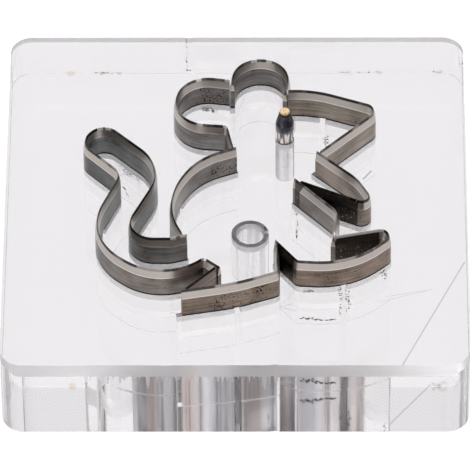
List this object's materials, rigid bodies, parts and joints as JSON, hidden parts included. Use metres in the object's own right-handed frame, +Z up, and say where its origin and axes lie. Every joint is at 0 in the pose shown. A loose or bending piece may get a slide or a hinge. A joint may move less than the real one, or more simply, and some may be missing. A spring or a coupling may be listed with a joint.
{
  "type": "cutting die",
  "caption": "Steel rule cutting die: a clear acrylic block whose bent steel rules stand up in the outline of a small sitting rodent, with a hollow punch for its eye.",
  "frame": {"origin": "middle of the acrylic block's bottom face", "axes": "+Z up, out of the block towards the cutting edges; +X to the right; +Y away from the viewer, towards the ears of the outline"},
  "size_m": [0.105, 0.104, 0.0311],
  "materials": {
    "clear_acrylic": "polished clear cast acrylic, lightly scratched",
    "rule_steel": "grey-brown oxide body with paler ground bevels",
    "punch_steel": "blue-black at the cone, worn bare below",
    "tan_leather": "raw cut fibre"
  },
  "bodies": {
    "root": {"acrylic_block": "clear_acrylic", "upper_ear_rule": "rule_steel", "rear_ear_rule": "rule_steel", "back_rule": "rule_steel", "tail_rule": "rule_steel", "left_sole_rule": "rule_steel", "front_rule": "rule_steel", "right_foot_rule": "rule_steel", "belly_rule": "rule_steel", "arm_rule": "rule_steel", "snout_rule": "rule_steel", "eye_punch": "punch_steel", "cut_slug": "tan_leather"}
  },
  "joints": []
}
